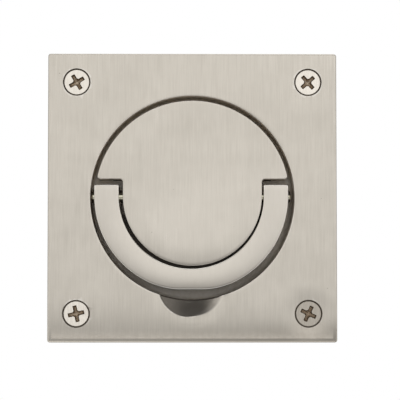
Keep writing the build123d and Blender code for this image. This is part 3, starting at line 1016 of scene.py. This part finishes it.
# the painted shade in the cross recess
colour = mix(times(cross_recess_shade, 0.6), mottled(tree, bloom, zinc_dark, zinc_light), zinc_recess_shade_colour)
drive(tree, shader, colour, ramp(bloom, 0.3, 0.7, 0.28, 0.44), bump(tree, bloom, 0.004 * mm))

for name, z in (("upper", hub_screw_z), ("lower", -hub_screw_z)):
    profile = [(nil, pan_top_y), (pan_radius - pan_round, pan_top_y)]
    profile += arc((pan_radius - pan_round, pan_top_y - pan_round), pan_round, 80, 0, 7)
    profile += [
        (pan_radius, pan_seat_y + pan_edge),
        (pan_radius - pan_edge, pan_seat_y),
        (pan_neck + 0.2 * mm, pan_seat_y),
        (pan_neck, pan_seat_y - pan_thread_start),
        (pan_neck, pan_seat_y - pan_thread_start - 0.5 * mm),
        (nil, pan_seat_y - pan_thread_start - 0.5 * mm),
    ]
    screw = turned("hub_screw_body_" + name, profile, (0, z), 80)
    cut(screw, [driver_cross("cross_cutter", (0, z), pan_top_y, *pan_cross, pan_turns[name], -1)])
    grow(screw, threaded, thread_inputs, {
        "Place": (0, pan_seat_y - pan_thread_start, z), "Direction": -1.0,
        "Length": pan_seat_y - pan_thread_start - pan_tip_y, "Hidden": 0.5 * mm,
        "Pitch": pan_pitch, "Ridge": 0.44, "Crest": pan_crest, "Root": pan_root, "Point": 0.5 * mm,
        "Material": zinc_steel,
    })
    smooth(screw, 30)
    finish(screw, zinc_steel, "housing", "zinc_steel", "hub_screw_" + name)

# ==== Lock washers ===================================================================================
# Two split spring washers under the hub screws' heads, cut from square wire and flattened by the screws.
washer_low, washer_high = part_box("lock_washer_upper")
washer_bore = 2.05 * mm
washer_width = 1.4 * mm
washer_edge = 0.12 * mm
washer_gap = 12.0  # degrees
washer_gap_turns = {"upper": 53.0, "lower": 109.0}

coiled, washer_inputs, given = geometry_group("split washer", {
    "Geometry": "Geometry", "Place": "Vector", "Radius": "Float", "Width": "Float", "Thickness": "Float",
    "Start": "Float", "Sweep": "Float", "Edge": "Float", "Material": "Material",
})
wire = add(coiled, "GeometryNodeCurveArc", {
    "Resolution": 72, "Radius": given["Radius"],
    "Start Angle": given["Start"], "Sweep Angle": given["Sweep"],
})["Curve"]
inputs = {"Width": given["Width"], "Height": given["Thickness"]}
section = add(coiled, "GeometryNodeCurvePrimitiveQuadrilateral", inputs)[0]
inputs = {"Curve": section, "Count": 3, "Radius": given["Edge"]}
eased = add(coiled, "GeometryNodeFilletCurve", inputs, mode="POLY")[0]
inputs = {"Curve": wire, "Profile Curve": eased, "Fill Caps": True}
swept = add(coiled, "GeometryNodeCurveToMesh", inputs)[0]
stood = add(coiled, "GeometryNodeTransform", {
    "Geometry": swept, "Translation": given["Place"], "Rotation": (pi / 2, 0, 0),
})[0]
give_out(coiled, stood, given["Material"])
for name, z in (("upper", hub_screw_z), ("lower", -hub_screw_z)):
    title = "lock_washer_spring_" + name
    washer = bpy.data.objects.new(title, bpy.data.meshes.new(title))
    bpy.context.scene.collection.objects.link(washer)
    grow(washer, coiled, washer_inputs, {
        "Place": (0, (washer_low.y + washer_high.y) / 2, z), "Radius": washer_bore + washer_width / 2,
        "Width": washer_width, "Thickness": washer_high.y - washer_low.y, "Edge": washer_edge,
        "Start": radians(washer_gap_turns[name] + washer_gap / 2), "Sweep": radians(360 - washer_gap),
        "Material": zinc_steel,
    })
    smooth(washer, 40)
    finish(washer, zinc_steel, "housing", "zinc_steel", "lock_washer_" + name)

# ==== Camera, light and floor ========================================================================
# The pull hangs at its place in front of plain white, over a pale floor, in soft studio light.
scene = bpy.context.scene
scene.view_settings.view_transform = "Standard"
aim = Vector((0, show_y, 0))
camera_distance = 506 * mm
camera_below = radians(3.1)
camera_left = radians(0.8)
camera = bpy.data.objects.new("camera", bpy.data.cameras.new("camera"))
camera.location = aim + camera_distance * Vector((
    -sin(camera_left) * cos(camera_below), -cos(camera_left) * cos(camera_below), -sin(camera_below)
))
camera.rotation_euler = (aim - camera.location).to_track_quat("-Z", "Y").to_euler()
camera.data.sensor_width = 36
camera.data.lens = 172.854
camera.data.shift_x = 0.019
camera.data.shift_y = -0.006
camera.data.clip_start = 0.01
scene.collection.objects.link(camera)
scene.camera = camera

world = bpy.data.worlds.new("studio")
scene.world = world
world.use_nodes = True
tree = world.node_tree
tree.nodes.clear()
times, plus, ramp, fade, mix = bound(tree)
apart = split(tree, add(tree, "ShaderNodeTexCoord", {})["Generated"])
height = times(calculate(tree, "ARCSINE", apart[2]), 180 / pi)
bearing = calculate(tree, "ARCTAN2", apart[0], times(apart[1], -1.0))
bearing = times(bearing, 180 / pi)  # 0 in front, 90 at the right


def softbox(strength, bearing_range, height_range):
    """A patch of light; each range is where it starts, is full, is still full and ends."""
    light = strength
    for value, (start, full, still, end) in ((bearing, bearing_range), (height, height_range)):
        light = times(light, ramp(value, start, full), fade(value, still, end))
    return light


all_round = (-400, -300, 300, 400)
low_walls, cards, behind_it = (-44, -30, -16, -2), (-40, -10, 25, 50), (-40, -10, 30, 60)
ambient = 0.12
light = ambient
for patch in (
    softbox(0.85, all_round, (-95, -91, -44, -25)),  # what the floor gives back
    softbox(0.7, (-95, -70, -38, -20), low_walls),  # low at the left and right
    softbox(0.7, (20, 38, 70, 95), low_walls),
    softbox(1.16, (-80, -40, 40, 80), (-17, 0, 24, 46)),  # the big one, in front
    softbox(0.1, (-8, 10, 60, 90), (-17, 0, 24, 46)),  # a little more of it at the right
    softbox(0.75, (-130, -95, -70, -45), cards),  # a white card at each side
    softbox(0.6, (45, 70, 95, 130), cards),
    softbox(1.7, all_round, (44, 66, 200, 300)),  # the ceiling
    softbox(0.75, (-400, -300, -130, -95), behind_it),  # the wall behind
    softbox(0.75, (95, 130, 300, 400), behind_it),
):
    light = plus(patch, light)
glow = add(tree, "ShaderNodeBackground", {"Strength": light})[0]
backdrop = add(tree, "ShaderNodeBackground", {"Color": (1, 1, 1, 1)})[0]
seen = add(tree, "ShaderNodeLightPath", {})["Is Camera Ray"]
either = add(tree, "ShaderNodeMixShader", {0: seen, 1: glow, 2: backdrop})[0]
add(tree, "ShaderNodeOutputWorld", {"Surface": either})

floor_width, floor_reach, floor_z = 300 * mm, 250 * mm, -120 * mm
floor_corners = ((-1, -1), (1, -1), (1, 1), (-1, 1))
floor_mesh = bpy.data.meshes.new("pale_floor")
floor_points = [(x * floor_width, y * floor_reach, floor_z) for x, y in floor_corners]
floor_mesh.from_pydata(floor_points, [], [(0, 1, 2, 3)])
floor = bpy.data.objects.new("pale_floor", floor_mesh)
scene.collection.objects.link(floor)
floor_paint = bpy.data.materials.new("pale_floor")
floor_paint.use_nodes = True
shader = floor_paint.node_tree.nodes["Principled BSDF"]
shader.inputs["Base Color"].default_value = (0.8, 0.8, 0.79, 1)
shader.inputs["Roughness"].default_value = 0.7
floor_mesh.materials.append(floor_paint)
floor.visible_glossy = False  # the pull mirrors the softer light that stands for it above
